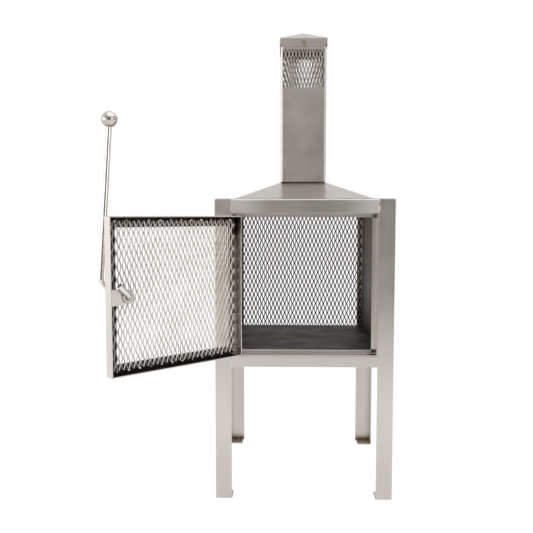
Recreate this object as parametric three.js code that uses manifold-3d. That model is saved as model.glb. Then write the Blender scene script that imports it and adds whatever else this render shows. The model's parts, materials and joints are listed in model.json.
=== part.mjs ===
// Square garden chiminea in brushed stainless steel: a four-legged angle frame that carries a firebox
// with a hinged mesh door, a pyramid hood, and a square flue with a mesh spark arrestor and a cap.
// Millimetres, +Z up, +X to the right of someone facing the door, +Y from the door to the back.
// The origin is on the ground at the centre of the four feet.
import * as THREE from 'three';
import { mergeVertices } from 'three/addons/utils/BufferGeometryUtils.js';
import Module from 'manifold-3d';

const wasm = await Module();
wasm.setup();

// ---------------------------------------------------------------- driving dimensions
const GAP = 0.3;              // left between two pieces that touch

const WIDTH = 550;            // over the legs, left to right
const DEPTH = 550;            // over the legs, front to back
const FRAME_TOP = 935;        // ground to the top of the legs
const SHEET = 3;              // legs, rails and door surround
const PANEL = 2;              // side panels, hood, flue

const LEG_FLANGE = 50;        // both flanges of a front leg, side flange of a rear leg
const REAR_FLANGE = 56;       // rear flange of a rear leg
const FOOT_REACH = 52;        // leg's outer corner to the far side of its foot plate
const FOOT_THICK = 4;

const TOP_RAIL = 41;          // height of the top rails
const BOTTOM_RAIL = 38;       // height of the bottom rails
const HEARTH = 457;           // ground to the top of the bottom rails
const RAIL_FLANGE = 40;       // how far the rails' top flanges reach inwards

const SURROUND_DEPTH = 33;    // front face to the back of the door surround
const LIP = 13;               // how far the surround's lip stands into the opening
const LIP_NOTCH = 12;         // lips stop this far short of the corners
const LIP_HEIGHT = 10.5;      // how far the lips of the sill and the header stand up and down
const OVERLAP = 1;            // how far two parts of one piece run into each other

const PANEL_OFFSET = 33.3;    // outer face of the frame to the outer face of a side panel

const DOOR = {
  left: -219.5, width: 437, bottom: 461, top: 884.5, depth: 29.5,
  flange: 30, wall: 3, openAngle: 136.9,
};
const HINGE = {
  x: -217, forward: 7.4, radius: 6.5, half: 30, heights: [579, 773],
  pinRadius: 4, boreRadius: 4.5, leafReach: 15, leafThick: 4.6, leafMargin: 2, floor: 3,
};

const PIVOT = { across: 386, height: 672.4 };  // from the door's hinge edge, and from the ground
const ROD_RADIUS = 7.5;
const HANDLE = {
  fingerPlane: 42, fingerLength: 46, leverPlane: -55, armLength: 48.6, slope: 45,
  ballHeight: 469.8, ballRadius: 21.5, bend: 13,
};
const BUSH = { radius: 18, boreRadius: 7.95, inner: 31, outer: -14, sides: 28 };
const LATCH_PLATE = { height: 43, thick: 3, reach: 38, inset: 1 };

const HOOD = { brim: 271.6, base: 219.5, top: 76.5, rise: 57, lift: 1.6, mouth: 66 };
const FLUE = { size: 150, corner: 8, stand: 3.2, top: 1305.7 };
const COLLAR_HEIGHT = 26;
const ARRESTOR = { bottom: 1306, meshTop: 1428, top: 1462 };
const CAP = { size: 156, bottom: 1438, rimTop: 1464, apex: 1498, sheet: 1.8 };

const MESH_CELL = { across: 56, along: 98, strand: 9 };    // coarse diamonds of the big panels
const MESH_THICK = 5;
const MESH_MARGIN = 4;        // left round the rear mesh, at the sides and the top
const ARRESTOR_CELL = { across: 32, along: 60, strand: 6 };

const FRONT = -DEPTH / 2;
const BACK = DEPTH / 2;
const SIDE = WIDTH / 2;

// ---------------------------------------------------------------- materials
function steel(name, color, roughness) {
  return new THREE.MeshStandardMaterial({ name, color, roughness, metalness: 1 });
}
const brushed = steel('brushed_steel', 0xb9b7b3, 0.38);
const sooted = steel('sooted_steel', 0x8a837b, 0.5);
const meshSteel = steel('mesh_steel', 0x9d9187, 0.45);
const polished = steel('polished_steel', 0xd8d6d3, 0.12);

// ---------------------------------------------------------------- geometry helpers
function block(x0, x1, y0, y1, z0, z1) {
  const geometry = new THREE.BoxGeometry(x1 - x0, y1 - y0, z1 - z0);
  return geometry.translate((x0 + x1) / 2, (y0 + y1) / 2, (z0 + z1) / 2);
}

function shapeOf(points) {
  return new THREE.Shape(points.map(([x, y]) => new THREE.Vector2(x, y)));
}

// An outline in the XY plane, pulled up from z0 to z1.
function upright(outline, z0, z1) {
  const shape = outline instanceof THREE.Shape ? outline : shapeOf(outline);
  const geometry = new THREE.ExtrudeGeometry(shape, { depth: z1 - z0, bevelEnabled: false });
  return geometry.translate(0, 0, z0);
}

// A section drawn as [inward, deep] pairs, run along a bar. Each end may slope with the inward distance,
// which makes a mitre. The result lies along X, with "inward" along Y and "deep" along Z.
function bar(section, start, end, mitre = 0) {
  const geometry = new THREE.ExtrudeGeometry(shapeOf(section), { depth: 1, bevelEnabled: false });
  const place = geometry.attributes.position;
  for (let i = 0; i < place.count; i += 1) {
    const [inward, deep, along] = [place.getX(i), place.getY(i), place.getZ(i)];
    const x = along < 0.5 ? start + mitre * inward : end - mitre * inward;
    place.setXYZ(i, x, inward, deep);
  }
  return geometry;
}

// A square shell: the profile's [half width, height] points turned about Z in four flat sides.
function squareLathe(profile) {
  const points = profile.map(([half, height]) => new THREE.Vector2(half * Math.SQRT2, height));
  const geometry = new THREE.LatheGeometry(points, 4, Math.PI / 4);
  return geometry.rotateX(Math.PI / 2);
}

function roundedSquare(size, radius) {
  const h = size / 2;
  const s = new THREE.Shape();
  s.absarc(h - radius, h - radius, radius, 0, Math.PI / 2);
  s.absarc(radius - h, h - radius, radius, Math.PI / 2, Math.PI);
  s.absarc(radius - h, radius - h, radius, Math.PI, 1.5 * Math.PI);
  s.absarc(h - radius, radius - h, radius, 1.5 * Math.PI, 2 * Math.PI);
  return s;
}

function squareTube(size, radius, wall, z0, z1) {
  const shape = roundedSquare(size, radius);
  shape.holes.push(roundedSquare(size - 2 * wall, radius - wall));
  const options = { depth: z1 - z0, bevelEnabled: false, curveSegments: 4 };
  return new THREE.ExtrudeGeometry(shape, options).translate(0, 0, z0);
}

function uprightCylinder(x, y, radius, z0, z1, sides = 20) {
  const geometry = new THREE.CylinderGeometry(radius, radius, z1 - z0, sides);
  return geometry.rotateX(Math.PI / 2).translate(x, y, (z0 + z1) / 2);
}

// Turns a geometry inside out if its faces point inwards, after merging its shared corners.
function closed(geometry) {
  const bare = geometry.clone();
  bare.deleteAttribute('normal');
  bare.deleteAttribute('uv');
  const solid = mergeVertices(bare, 1e-4);
  const p = solid.attributes.position;
  const index = solid.index.array;
  const [a, b, c] = [new THREE.Vector3(), new THREE.Vector3(), new THREE.Vector3()];
  let volume = 0;
  const kept = [];
  for (let i = 0; i < index.length; i += 3) {
    const [i0, i1, i2] = [index[i], index[i + 1], index[i + 2]];
    if (i0 !== i1 && i1 !== i2 && i2 !== i0) {
      a.fromBufferAttribute(p, i0);
      b.fromBufferAttribute(p, i1);
      c.fromBufferAttribute(p, i2);
      volume += a.dot(b.cross(c));
      kept.push(i0, i1, i2);
    }
  }
  if (volume < 0) {
    for (let i = 0; i < kept.length; i += 3) {
      [kept[i], kept[i + 1]] = [kept[i + 1], kept[i]];
    }
  }
  solid.setIndex(kept);
  return solid;
}

function toManifold(geometry) {
  const solid = closed(geometry);
  return new wasm.Manifold(new wasm.Mesh({
    numProp: 3,
    vertProperties: new Float32Array(solid.attributes.position.array),
    triVerts: new Uint32Array(solid.index.array),
  }));
}

function fromManifold(manifold) {
  const mesh = manifold.getMesh();
  const geometry = new THREE.BufferGeometry();
  geometry.setAttribute('position', new THREE.BufferAttribute(new Float32Array(mesh.vertProperties), 3));
  geometry.setIndex(new THREE.BufferAttribute(new Uint32Array(mesh.triVerts), 1));
  return geometry;
}

function cut(base, ...tools) {
  return fromManifold(tools.reduce((left, tool) => left.subtract(toManifold(tool)), toManifold(base)));
}

function join(first, ...others) {
  return fromManifold(others.reduce((left, piece) => left.add(toManifold(piece)), toManifold(first)));
}

// A diamond-shaped cutter along Y, centred at (x, z).
function diamondCutter(x, z, width, height, y0, y1) {
  const outline = [[-width / 2, 0], [0, -height / 2], [width / 2, 0], [0, height / 2]];
  const geometry = new THREE.ExtrudeGeometry(shapeOf(outline), { depth: y1 - y0, bevelEnabled: false });
  return geometry.rotateX(Math.PI / 2).translate(x, y1, z);
}

// Staggered diamonds that fit between the given limits, for a sheet that faces along Y.
function diamondField(x0, x1, z0, z1, cell, y0, y1) {
  const cutters = [];
  const columns = Math.floor((x1 - x0) / cell.across);
  const rows = Math.floor((z1 - z0) / cell.along);
  const left = (x0 + x1) / 2 - (columns * cell.across) / 2;
  const low = (z0 + z1) / 2 - (rows * cell.along) / 2;
  const add = (column, row) => cutters.push(diamondCutter(
    left + column * cell.across, low + row * cell.along,
    cell.across - cell.strand, cell.along - cell.strand * (cell.along / cell.across), y0, y1,
  ));
  for (let row = 0; row < rows; row += 1) {
    for (let column = 0; column < columns; column += 1) {
      add(column + 0.5, row + 0.5);
      if (column > 0 && row > 0) {
        add(column, row);
      }
    }
  }
  return cutters;
}

function meshSheet(x0, x1, y0, y1, z0, z1, extraCutters = []) {
  const border = MESH_CELL.strand;
  const field = diamondField(x0 + border, x1 - border, z0 + border, z1 - border, MESH_CELL, y0 - 1, y1 + 1);
  return cut(block(x0, x1, y0, y1, z0, z1), ...field, ...extraCutters);
}

const chiminea = new THREE.Group();

function piece(group, name, geometry, material) {
  const mesh = new THREE.Mesh(closed(geometry), material);
  mesh.name = name;
  group.add(mesh);
  return mesh;
}

// ---------------------------------------------------------------- legs and feet
// Each leg is an angle with its corner outwards. It is drawn in the front left corner and mirrored.
function legOutline(alongFront, alongSide, mirrorX, mirrorY) {
  const outline = [
    [-SIDE, FRONT], [-SIDE + alongFront, FRONT], [-SIDE + alongFront, FRONT + SHEET],
    [-SIDE + SHEET, FRONT + SHEET], [-SIDE + SHEET, FRONT + alongSide], [-SIDE, FRONT + alongSide],
  ];
  const points = outline.map(([x, y]) => [x * mirrorX, y * mirrorY]);
  return mirrorX * mirrorY < 0 ? points.reverse() : points;
}

const corners = [
  ['front_left', 1, 1, LEG_FLANGE], ['front_right', -1, 1, LEG_FLANGE],
  ['rear_left', 1, -1, REAR_FLANGE], ['rear_right', -1, -1, REAR_FLANGE],
];
for (const [corner, mirrorX, mirrorY, flange] of corners) {
  const outline = legOutline(flange, LEG_FLANGE, mirrorX, mirrorY);
  piece(chiminea, `leg_${corner}`, upright(outline, 0, FRAME_TOP), brushed);
  const near = SIDE - SHEET - GAP;
  const far = SIDE - FOOT_REACH;
  const [xa, xb] = mirrorX > 0 ? [-near, -far] : [far, near];
  const [ya, yb] = mirrorY > 0 ? [-near, -far] : [far, near];
  piece(chiminea, `foot_plate_${corner}`, block(xa, xb, ya, yb, 0, FOOT_THICK), brushed);
}

// ---------------------------------------------------------------- rails
// A rail is a folded angle: an upright face flush with the legs, and a flange on top that turns inwards.
function railSection(height) {
  return [
    [0, -height], [SHEET, -height], [SHEET, -SHEET],
    [RAIL_FLANGE, -SHEET], [RAIL_FLANGE, 0], [0, 0],
  ];
}

function rail(name, height, top, half, turn) {
  const geometry = bar(railSection(height), -half, half);
  const mesh = piece(chiminea, name, geometry, brushed);
  mesh.rotation.z = turn;
  const outward = new THREE.Vector3(0, FRONT, top).applyAxisAngle(new THREE.Vector3(0, 0, 1), turn);
  mesh.position.copy(outward);
}

const frontHalf = SIDE - LEG_FLANGE - GAP;
const rearHalf = SIDE - REAR_FLANGE - GAP;
const sideHalf = BACK - LEG_FLANGE - GAP;
const frontBottomTop = HEARTH - SHEET - GAP;
for (const [level, height, top] of [['top', TOP_RAIL, FRAME_TOP], ['bottom', BOTTOM_RAIL, HEARTH]]) {
  const frontTop = level === 'bottom' ? frontBottomTop : top;
  const frontHeight = level === 'bottom' ? BOTTOM_RAIL - SHEET - GAP : height;
  rail(`${level}_rail_front`, frontHeight, frontTop, frontHalf, 0);
  rail(`${level}_rail_rear`, height, top, rearHalf, Math.PI);
  rail(`${level}_rail_left`, height, top, sideHalf, -Math.PI / 2);
  rail(`${level}_rail_right`, height, top, sideHalf, Math.PI / 2);
}

// ---------------------------------------------------------------- door surround
// Four strips line the opening. Each is an angle: a wall as deep as the door, and a lip at its back
// edge that stands into the opening for the door to close against.
const openTop = FRAME_TOP - TOP_RAIL - GAP;      // top of the header strip
const jambX = frontHalf;                          // outer face of a jamb's wall
const surroundBack = FRONT + SURROUND_DEPTH;
const lipFront = surroundBack - SHEET;

function jamb(name, side) {
  const z0 = HEARTH + GAP;
  const z1 = openTop - SHEET - GAP;
  const wall = block(jambX - SHEET, jambX, FRONT, surroundBack, z0, z1);
  const lip = block(
    jambX - SHEET - LIP, jambX - OVERLAP, lipFront, surroundBack, z0 + LIP_NOTCH, z1 - LIP_NOTCH,
  );
  const geometry = join(wall, lip);
  piece(chiminea, name, side > 0 ? geometry : geometry.scale(-1, 1, 1), brushed);
}
jamb('door_jamb_left', -1);
jamb('door_jamb_right', 1);

const lipHalf = jambX - SHEET - LIP_NOTCH;
piece(chiminea, 'door_sill', join(
  block(-jambX, jambX, FRONT, surroundBack, HEARTH - SHEET, HEARTH),
  block(-lipHalf, lipHalf, lipFront, surroundBack, HEARTH - OVERLAP, HEARTH + LIP_HEIGHT),
), brushed);
piece(chiminea, 'door_header', join(
  block(-jambX, jambX, FRONT, surroundBack, openTop - SHEET, openTop),
  block(-lipHalf, lipHalf, lipFront, surroundBack, openTop - SHEET - LIP_HEIGHT, openTop - OVERLAP),
), brushed);

// ---------------------------------------------------------------- firebox
const panelOuter = SIDE - PANEL_OFFSET;
const panelTop = FRAME_TOP - SHEET - GAP;
for (const [side, sign] of [['left', -1], ['right', 1]]) {
  const [xa, xb] = [sign * panelOuter, sign * (panelOuter - PANEL)].sort((p, q) => p - q);
  const panel = block(xa, xb, FRONT + SHEET + GAP, BACK - SHEET - GAP, HEARTH + GAP, panelTop);
  piece(chiminea, `side_panel_${side}`, panel, sooted);
}

const hearthHalf = panelOuter - PANEL - GAP;
const meshBack = BACK - SHEET - GAP;
const hearthBack = meshBack - MESH_THICK - GAP;
piece(chiminea, 'hearth_plate', block(
  -hearthHalf, hearthHalf, surroundBack + GAP, hearthBack, HEARTH + GAP, HEARTH + GAP + SHEET,
), sooted);

const rearMeshHalf = hearthHalf - MESH_MARGIN;
piece(chiminea, 'rear_mesh_panel', meshSheet(
  -rearMeshHalf, rearMeshHalf, meshBack - MESH_THICK, meshBack, HEARTH + GAP, panelTop - MESH_MARGIN,
), meshSteel);

// ---------------------------------------------------------------- hood, flue and cap
const hoodSeat = FRAME_TOP + GAP;
const hoodTop = hoodSeat + HOOD.lift + HOOD.rise;
piece(chiminea, 'hood', squareLathe([
  [HOOD.brim, hoodSeat], [HOOD.brim, hoodSeat + HOOD.lift], [HOOD.base, hoodSeat + HOOD.lift],
  [HOOD.top, hoodTop], [HOOD.mouth, hoodTop], [HOOD.mouth, hoodTop - HOOD.lift],
  [HOOD.top - 0.4, hoodTop - HOOD.lift], [HOOD.base - 0.6, hoodSeat], [HOOD.brim, hoodSeat],
]), brushed);

const collarSize = FLUE.size - 2 * PANEL - 2 * GAP;
const collarFoot = hoodTop + GAP;
piece(chiminea, 'flue_collar', squareTube(
  collarSize, FLUE.corner - PANEL - GAP, PANEL, collarFoot, collarFoot + COLLAR_HEIGHT,
), brushed);
piece(chiminea, 'flue_tube', squareTube(
  FLUE.size, FLUE.corner, PANEL, hoodTop + FLUE.stand, FLUE.top,
), brushed);

// The arrestor is a sleeve of the flue's own section, open in staggered diamonds below a plain band.
function arrestor() {
  const reach = FLUE.size;
  const half = FLUE.size / 2 - FLUE.corner;
  const field = diamondField(
    -half, half, ARRESTOR.bottom + PANEL, ARRESTOR.meshTop, ARRESTOR_CELL, -reach, reach,
  );
  const crossField = field.map((cutter) => cutter.clone().rotateZ(Math.PI / 2));
  const sleeve = squareTube(FLUE.size, FLUE.corner, PANEL, ARRESTOR.bottom, ARRESTOR.top);
  return cut(sleeve, ...field, ...crossField);
}
piece(chiminea, 'spark_arrestor', arrestor(), meshSteel);

const capHalf = CAP.size / 2;
piece(chiminea, 'chimney_cap', squareLathe([
  [0, CAP.apex], [capHalf, CAP.rimTop], [capHalf, CAP.bottom], [capHalf - CAP.sheet, CAP.bottom],
  [capHalf - CAP.sheet, CAP.rimTop - 1], [0, CAP.apex - CAP.sheet],
]), brushed);

// ---------------------------------------------------------------- hinges
// Two weld-on barrel hinges. The lower half of each is welded to the leg and holds the pin; the upper
// half is welded to the door and turns on the pin.
const hingeY = FRONT - HINGE.forward;

function hingeHalf(sign, z0, z1, bore0, bore1) {
  const barrel = uprightCylinder(HINGE.x, hingeY, HINGE.radius, z0, z1);
  const [xa, xb] = [HINGE.x, HINGE.x + sign * HINGE.leafReach].sort((p, q) => p - q);
  const leafBack = FRONT - GAP;
  const leaf = block(xa, xb, leafBack - HINGE.leafThick, leafBack, z0 + HINGE.leafMargin, z1 - HINGE.leafMargin);
  const bore = uprightCylinder(HINGE.x, hingeY, HINGE.boreRadius, bore0, bore1);
  return cut(join(barrel, leaf), bore);
}

// ---------------------------------------------------------------- door
// Drawn closed, in the object's own axes, then swung open about the hinge line.
const door = new THREE.Group();
const doorClosed = new THREE.Group();
door.position.set(HINGE.x, hingeY, 0);
door.rotation.z = THREE.MathUtils.degToRad(-DOOR.openAngle);
doorClosed.position.set(-HINGE.x, -hingeY, 0);
door.add(doorClosed);
chiminea.add(door);

HINGE.heights.forEach((height, i) => {
  const level = ['lower', 'upper'][i];
  const split = height - HINGE.half / 2;
  const low = split - HINGE.half;
  const high = split + HINGE.half;
  const [cup, tip] = [low + HINGE.floor, high - HINGE.floor];
  piece(chiminea, `${level}_hinge_socket`,
    hingeHalf(-1, low, split - GAP, cup, split + OVERLAP), brushed);
  piece(chiminea, `${level}_hinge_pin`,
    uprightCylinder(HINGE.x, hingeY, HINGE.pinRadius, cup + GAP, tip - GAP - OVERLAP), polished);
  piece(doorClosed, `${level}_hinge_barrel`,
    hingeHalf(1, split + GAP, high, split - OVERLAP, tip), brushed);
});

const doorRight = DOOR.left + DOOR.width;
const doorHeight = DOOR.top - DOOR.bottom;
const angle = [
  [0, 0], [DOOR.flange, 0], [DOOR.flange, DOOR.wall],
  [DOOR.wall, DOOR.wall], [DOOR.wall, DOOR.depth], [0, DOOR.depth],
];

// Mitred angle bars. The web stands round the door's edge and the flange lies in its front face.
function doorBar(name, length, x, z, quarterTurns) {
  const geometry = bar(angle, GAP, length - GAP, 1);
  geometry.applyMatrix4(new THREE.Matrix4().makeBasis(
    new THREE.Vector3(1, 0, 0), new THREE.Vector3(0, 0, 1), new THREE.Vector3(0, 1, 0),
  ));
  const mesh = piece(doorClosed, name, geometry, brushed);
  mesh.rotation.y = -quarterTurns * (Math.PI / 2);
  mesh.position.set(x, FRONT, z);
}
doorBar('door_rail_bottom', DOOR.width, DOOR.left, DOOR.bottom, 0);
doorBar('door_stile_free', doorHeight, doorRight, DOOR.bottom, 1);
doorBar('door_rail_top', DOOR.width, doorRight, DOOR.top, 2);
doorBar('door_stile_hinge', doorHeight, DOOR.left, DOOR.top, 3);

// A cylinder along Y whose axis crosses the door at the latch's pivot.
const pivotX = DOOR.left + PIVOT.across;
function latchCylinder(radius, deep0 = BUSH.outer - OVERLAP, deep1 = BUSH.inner + OVERLAP) {
  const geometry = new THREE.CylinderGeometry(radius, radius, deep1 - deep0, BUSH.sides);
  return geometry.translate(pivotX, FRONT + (deep0 + deep1) / 2, PIVOT.height);
}

const inside = DOOR.wall + GAP;
const meshFront = FRONT + DOOR.wall + GAP;
piece(doorClosed, 'door_mesh_panel', meshSheet(
  DOOR.left + inside, doorRight - inside, meshFront, meshFront + MESH_THICK,
  DOOR.bottom + inside, DOOR.top - inside,
  [latchCylinder(BUSH.radius + OVERLAP)],
), meshSteel);

piece(doorClosed, 'latch_bush', cut(
  latchCylinder(BUSH.radius, BUSH.outer, BUSH.inner), latchCylinder(BUSH.boreRadius),
), polished);

const plateRight = doorRight - inside;
const plateFront = FRONT + DOOR.depth - LATCH_PLATE.inset - LATCH_PLATE.thick;
piece(doorClosed, 'latch_plate', cut(
  block(
    plateRight - LATCH_PLATE.reach, plateRight, plateFront, plateFront + LATCH_PLATE.thick,
    PIVOT.height - LATCH_PLATE.height / 2, PIVOT.height + LATCH_PLATE.height / 2,
  ),
  latchCylinder(BUSH.radius + GAP),
), brushed);

// ---------------------------------------------------------------- handle and latch
// One round bar, bent three times: a finger behind the surround's lip, the shaft in the bush, an arm,
// and a tall lever with a ball right above the pivot.
const slope = THREE.MathUtils.degToRad(HANDLE.slope);
function atPivot(across, deep, up) {
  return new THREE.Vector3(pivotX + across, FRONT + deep, PIVOT.height + up);
}

// A path through the given corners, each rounded over the bend distance.
function bentPath(route, bend) {
  const path = new THREE.CurvePath();
  let from = route[0];
  for (let i = 1; i < route.length - 1; i += 1) {
    const back = route[i].clone().add(route[i - 1].clone().sub(route[i]).setLength(bend));
    const ahead = route[i].clone().add(route[i + 1].clone().sub(route[i]).setLength(bend));
    path.add(new THREE.LineCurve3(from, back));
    path.add(new THREE.QuadraticBezierCurve3(back, route[i], ahead));
    from = ahead;
  }
  path.add(new THREE.LineCurve3(from, route[route.length - 1]));
  return path;
}

const along = [Math.cos(slope), Math.sin(slope)];
const ballCentre = atPivot(0, HANDLE.leverPlane, HANDLE.ballHeight);
const elbow = atPivot(along[0] * HANDLE.armLength, HANDLE.leverPlane, along[1] * HANDLE.armLength);
const leverEnd = elbow.clone().sub(ballCentre).setLength(HANDLE.ballRadius + GAP).add(ballCentre);
const route = [
  atPivot(along[0] * HANDLE.fingerLength, HANDLE.fingerPlane, along[1] * HANDLE.fingerLength),
  atPivot(0, HANDLE.fingerPlane, 0), atPivot(0, HANDLE.leverPlane, 0), elbow, leverEnd,
];
const rodSection = new THREE.Shape();
rodSection.absarc(0, 0, ROD_RADIUS, 0, 2 * Math.PI);
piece(doorClosed, 'handle_bar', new THREE.ExtrudeGeometry(rodSection, {
  steps: 76, curveSegments: 5, bevelEnabled: false, extrudePath: bentPath(route, HANDLE.bend),
}), polished);

const ball = new THREE.SphereGeometry(HANDLE.ballRadius, 24, 16);
piece(doorClosed, 'handle_ball', ball.translate(ballCentre.x, ballCentre.y, ballCentre.z), polished);

export default chiminea;
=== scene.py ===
import json
import math

import bmesh
import bpy
from mathutils import Matrix, Vector


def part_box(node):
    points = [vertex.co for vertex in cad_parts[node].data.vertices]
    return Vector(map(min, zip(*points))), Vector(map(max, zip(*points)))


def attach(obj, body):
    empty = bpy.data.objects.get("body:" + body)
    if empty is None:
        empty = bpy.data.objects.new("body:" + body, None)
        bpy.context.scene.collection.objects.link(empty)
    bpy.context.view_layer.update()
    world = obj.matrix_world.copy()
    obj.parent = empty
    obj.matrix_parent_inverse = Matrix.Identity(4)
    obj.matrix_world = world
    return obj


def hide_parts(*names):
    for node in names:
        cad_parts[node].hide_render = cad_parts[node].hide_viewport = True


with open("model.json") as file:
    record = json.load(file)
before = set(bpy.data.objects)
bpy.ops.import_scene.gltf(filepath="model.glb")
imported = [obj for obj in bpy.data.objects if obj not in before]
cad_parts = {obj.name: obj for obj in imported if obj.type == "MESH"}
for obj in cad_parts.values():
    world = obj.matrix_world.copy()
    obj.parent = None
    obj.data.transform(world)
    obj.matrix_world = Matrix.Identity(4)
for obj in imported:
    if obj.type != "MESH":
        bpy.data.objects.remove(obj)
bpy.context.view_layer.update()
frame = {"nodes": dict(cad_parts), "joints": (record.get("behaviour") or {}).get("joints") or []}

nodes = frame["nodes"]
joints = {joint["name"]: joint for joint in frame["joints"]}

# the frame's own measures

hingePoint = Vector(joints["door_hinge"]["pos_m"])
openAngle = math.radians(joints["door_hinge"]["range_deg"][1])
doorTurn = (
    Matrix.Translation(hingePoint) @ Matrix.Rotation(-openAngle, 4, "Z") @ Matrix.Translation(-hingePoint)
)
doorBack = doorTurn.inverted()  # takes a point of the open door to where it is when the door is shut


def closedBox(node):  # a door node's box with the door shut
    points = [doorBack @ vertex.co for vertex in nodes[node].data.vertices]
    low = Vector([min(point[i] for point in points) for i in range(3)])
    high = Vector([max(point[i] for point in points) for i in range(3)])
    return low, high


pivot = doorBack @ Vector(joints["handle_pivot"]["pos_m"])
legLow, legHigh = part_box("leg_front_left")[0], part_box("leg_rear_right")[1]
frontY, backY = legLow.y, legHigh.y
leftX, rightX = legLow.x, legHigh.x

# small tools for working as by hand
merging = {"near": 0.00001, "flat": 0.4}  # metres between corners, degrees between faces


def deselectAll():
    if bpy.context.object and bpy.context.object.mode != "OBJECT":
        bpy.ops.object.mode_set(mode="OBJECT")
    bpy.ops.object.select_all(action="DESELECT")


def activate(obj, *others):
    deselectAll()
    for item in (obj, *others):
        item.select_set(True)
    bpy.context.view_layer.objects.active = obj
    return obj


def edit(obj):
    activate(obj)
    bpy.ops.object.mode_set(mode="EDIT")
    bpy.ops.mesh.select_all(action="DESELECT")


def pick(obj, kind, test):  # selects the faces, edges or corners that pass the test
    bpy.ops.mesh.select_mode(type=kind)
    bpy.ops.mesh.select_all(action="DESELECT")
    shape = bmesh.from_edit_mesh(obj.data)
    for item in {"FACE": shape.faces, "EDGE": shape.edges, "VERT": shape.verts}[kind]:
        if test(item):
            item.select_set(True)
    bmesh.update_edit_mesh(obj.data)


def leaveEdit():
    bpy.ops.object.mode_set(mode="OBJECT")


def named(name):
    made = bpy.context.object
    made.name = name
    return made


def settle(obj, turn=None):  # puts the place of an object into its mesh
    activate(obj)
    if turn:
        obj.matrix_world = turn @ obj.matrix_world
    bpy.ops.object.transform_apply(location=True, rotation=True, scale=True)
    return obj


def modify(obj, kind, **settings):  # adds a modifier and applies it
    activate(obj)
    modifier = obj.modifiers.new(kind.lower(), kind)
    for key, value in settings.items():
        setattr(modifier, key, value)
    bpy.ops.object.modifier_apply(modifier=modifier.name)
    return obj


def softEdges(obj, width, segments=2, angle=30):
    return modify(
        obj, "BEVEL", width=width, segments=segments, limit_method="ANGLE", angle_limit=math.radians(angle),
    )


def smooth(obj, angle=35):
    activate(obj)
    bpy.ops.object.shade_smooth_by_angle(angle=math.radians(angle))
    return modify(obj, "WEIGHTED_NORMAL", mode="FACE_AREA", weight=90, keep_sharp=True)


def joined(name, parts):
    activate(parts[0], *parts[1:])
    if len(parts) > 1:
        bpy.ops.object.join()
    return named(name)


def place(obj, material, body, slot, *replaced):  # gives a finished piece its material, parents it to its body and hides the CAD parts it replaces
    obj.data.materials.clear()
    obj.data.materials.append(material)
    for face in obj.data.polygons:
        face.material_index = 0
    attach(obj, body)
    if replaced:
        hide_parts(*replaced)
    return obj


def copyOf(node):  # a clean copy of a CAD node, with its shared corners merged and flat faces whole
    piece = nodes[node].copy()
    piece.data = nodes[node].data.copy()
    piece.parent = None
    for key in list(piece.keys()):
        del piece[key]
    piece.name = node + "_finished"
    bpy.context.scene.collection.objects.link(piece)
    edit(piece)
    bpy.ops.mesh.select_all(action="SELECT")
    bpy.ops.mesh.remove_doubles(threshold=merging["near"])
    bpy.ops.mesh.dissolve_limited(angle_limit=math.radians(merging["flat"]))
    leaveEdit()
    return piece


class Signal:  # a socket that can be used in a sum
    def __init__(self, finish, socket):
        self.finish, self.socket = finish, socket

    def maths(self, operation, first, second=0.0):
        return self.finish.node("ShaderNodeMath", {"operation": operation}, {0: first, 1: second})

    def __add__(self, other):
        return self.maths("ADD", self, other)

    def __sub__(self, other):
        return self.maths("SUBTRACT", self, other)

    def __mul__(self, other):
        return self.maths("MULTIPLY", self, other)

    def __rsub__(self, other):
        return self.maths("SUBTRACT", other, self)

    def __pow__(self, other):
        return self.maths("POWER", self, other)

    __radd__ = __add__
    __rmul__ = __mul__

    def size(self):
        return self.maths("ABSOLUTE", self)

    def atLeast(self, other):
        return self.maths("MAXIMUM", self, other)

    def atMost(self, other):
        return self.maths("MINIMUM", self, other)

    def ramp(self, low, high):  # 0 below low, 1 above high, smooth between
        return self.finish.node(
            "ShaderNodeMapRange", {"interpolation_type": "SMOOTHSTEP"},
            {"Value": self, "From Min": low, "From Max": high, "To Min": 0.0, "To Max": 1.0},
        )

    def window(self, low, high, soft):  # 1 between low and high, 0 outside
        return self.ramp(low, low + soft) * (1 - self.ramp(high - soft, high))


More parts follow.
